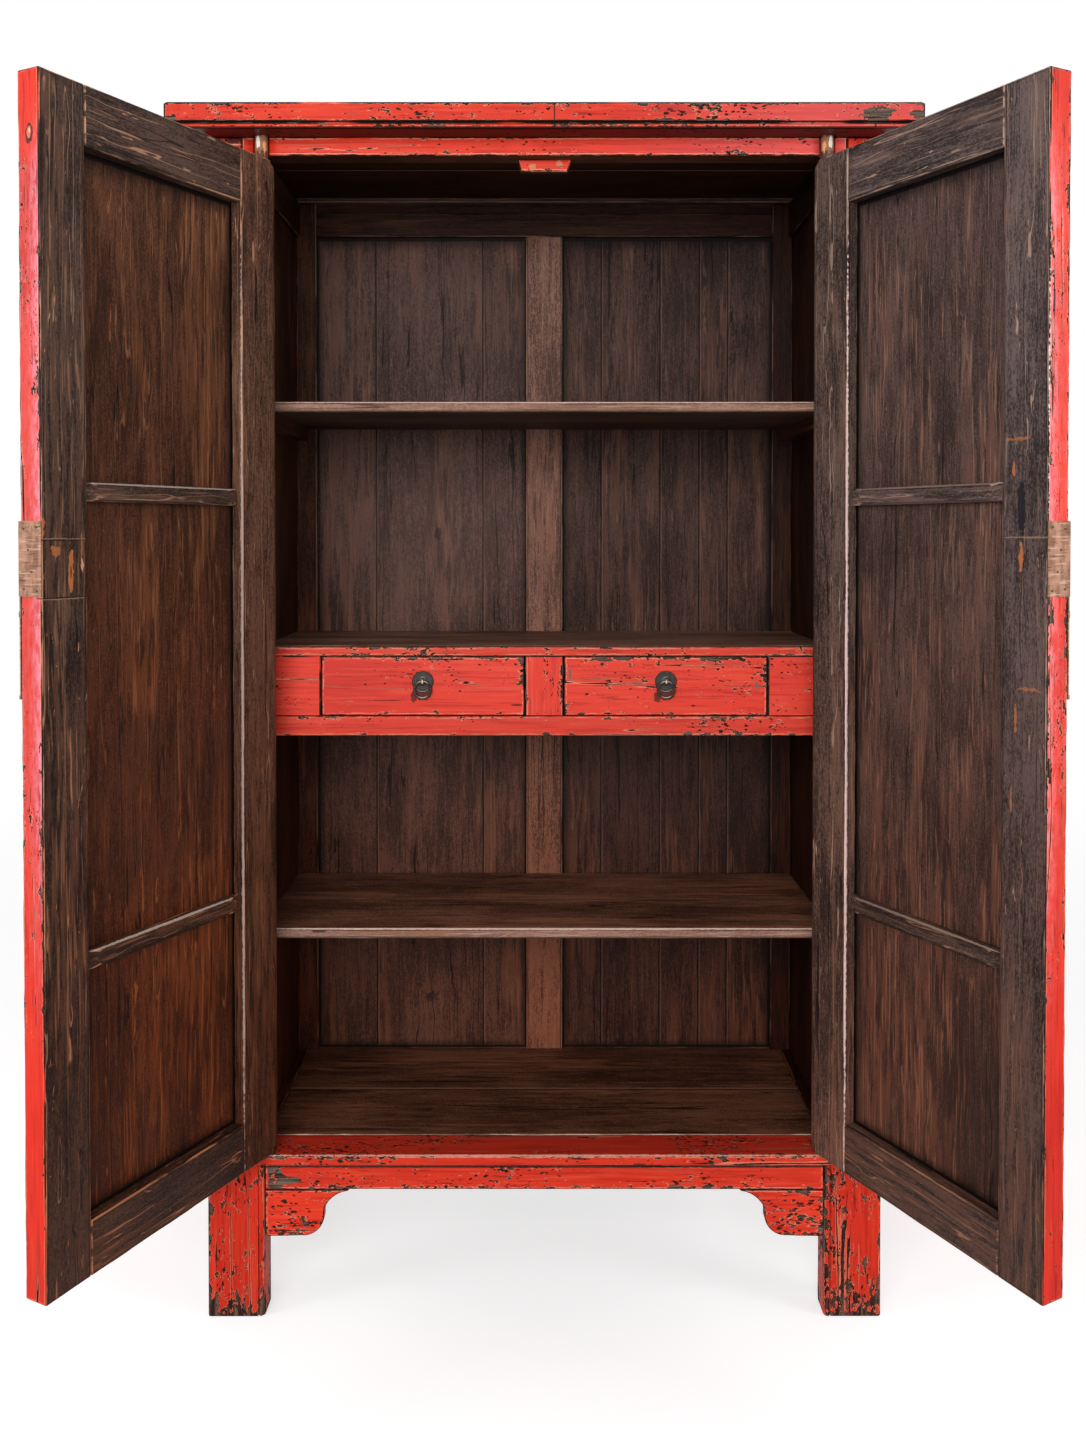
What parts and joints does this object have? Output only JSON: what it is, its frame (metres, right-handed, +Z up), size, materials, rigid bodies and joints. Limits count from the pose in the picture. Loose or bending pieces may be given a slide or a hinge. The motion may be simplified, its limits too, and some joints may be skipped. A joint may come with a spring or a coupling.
{
  "type": "wedding cabinet",
  "caption": "Tall lacquered cabinet with a pair of pivot doors, shelves and a drawer case inside, on square legs with shaped apron brackets.",
  "frame": {"origin": "on the floor, under the middle of the whole cabinet with its doors open", "axes": "+X to the viewer's right, +Y from the front to the back, +Z up"},
  "size_m": [1.2726, 0.7982, 1.797],
  "materials": {
    "red_lacquer": "vermilion lacquer on wood, chipped and worn along the edges and feet",
    "door_lacquer": "vermilion lacquer outside and on the edges, bare brown wood inside",
    "door_panel_wood": "red lacquer outside, warm brown scratched wood inside",
    "case_wood": "dark stained softwood, streaked and scratched",
    "shelf_wood": "dark stained boards with worn lighter front edges",
    "drawer_wood": "bare softwood, browned with age",
    "iron": "dark aged iron with a bronze brown bloom",
    "brass": "aged brass, dull and browned"
  },
  "bodies": {
    "case": {"apron": "red_lacquer", "apron_bracket_left": "red_lacquer", "apron_bracket_right": "red_lacquer", "back_bottom_rail": "case_wood", "back_muntin": "case_wood", "back_panel_left": "case_wood", "back_panel_right": "case_wood", "back_top_rail": "case_wood", "cornice_front": "red_lacquer", "cornice_left": "red_lacquer", "cornice_rear": "red_lacquer", "cornice_right": "red_lacquer", "door_stop_block": "case_wood", "drawer_case_board": "shelf_wood", "drawer_case_bottom_rail": "red_lacquer", "drawer_case_divider": "red_lacquer", "drawer_case_ends": "red_lacquer", "drawer_case_floor": "shelf_wood", "drawer_case_top_rail": "red_lacquer", "floor_boards": "shelf_wood", "front_post_left": "red_lacquer", "front_post_right": "red_lacquer", "head_rail": "red_lacquer", "lower_shelf": "shelf_wood", "rear_post_left": "red_lacquer", "rear_post_right": "red_lacquer", "shelf_runners": "shelf_wood", "side_bottom_rail_left": "red_lacquer", "side_bottom_rail_right": "red_lacquer", "side_panel_left": "red_lacquer", "side_panel_right": "red_lacquer", "side_top_rail_left": "red_lacquer", "side_top_rail_right": "red_lacquer", "sill_rail": "red_lacquer", "top_boards": "case_wood", "upper_shelf": "shelf_wood"},
    "left_door": {"left_door_battens": "door_lacquer", "left_door_bottom_rail": "door_lacquer", "left_door_hinge_stile": "door_lacquer", "left_door_lock_plate": "brass", "left_door_lock_stile": "door_lacquer", "left_door_panel": "door_panel_wood", "left_door_top_rail": "door_lacquer"},
    "right_door": {"right_door_battens": "door_lacquer", "right_door_bottom_rail": "door_lacquer", "right_door_hinge_stile": "door_lacquer", "right_door_lock_plate": "brass", "right_door_lock_stile": "door_lacquer", "right_door_panel": "door_panel_wood", "right_door_top_rail": "door_lacquer"},
    "left_drawer": {"left_drawer_bottom": "drawer_wood", "left_drawer_box": "drawer_wood", "left_drawer_front": "red_lacquer", "left_drawer_pull_plate": "iron"},
    "right_drawer": {"right_drawer_bottom": "drawer_wood", "right_drawer_box": "drawer_wood", "right_drawer_front": "red_lacquer", "right_drawer_pull_plate": "iron"},
    "left_ring": {"left_drawer_pull_ring": "iron"},
    "right_ring": {"right_drawer_pull_ring": "iron"}
  },
  "joints": [
    {"name": "left_door_hinge", "type": "hinge", "parent": "case", "child": "left_door", "pos_m": [-0.4177, -0.02126, 0.252], "axis": [0, 0, 1], "range_deg": [0, 117.5]},
    {"name": "right_door_hinge", "type": "hinge", "parent": "case", "child": "right_door", "pos_m": [0.4177, -0.02126, 0.252], "axis": [0, 0, -1], "range_deg": [0, 117.5]},
    {"name": "left_drawer_slide", "type": "slide", "parent": "case", "child": "left_drawer", "axis": [0, 1, 0], "range_m": [-0.23, 0]},
    {"name": "right_drawer_slide", "type": "slide", "parent": "case", "child": "right_drawer", "axis": [0, 1, 0], "range_m": [-0.23, 0]},
    {"name": "left_ring_swing", "type": "hinge", "parent": "left_drawer", "child": "left_ring", "pos_m": [-0.18625, 0.03024, 0.9479], "axis": [1, 0, 0], "range_deg": [-105, 0]},
    {"name": "right_ring_swing", "type": "hinge", "parent": "right_drawer", "child": "right_ring", "pos_m": [0.18625, 0.03024, 0.9479], "axis": [1, 0, 0], "range_deg": [-105, 0]}
  ]
}
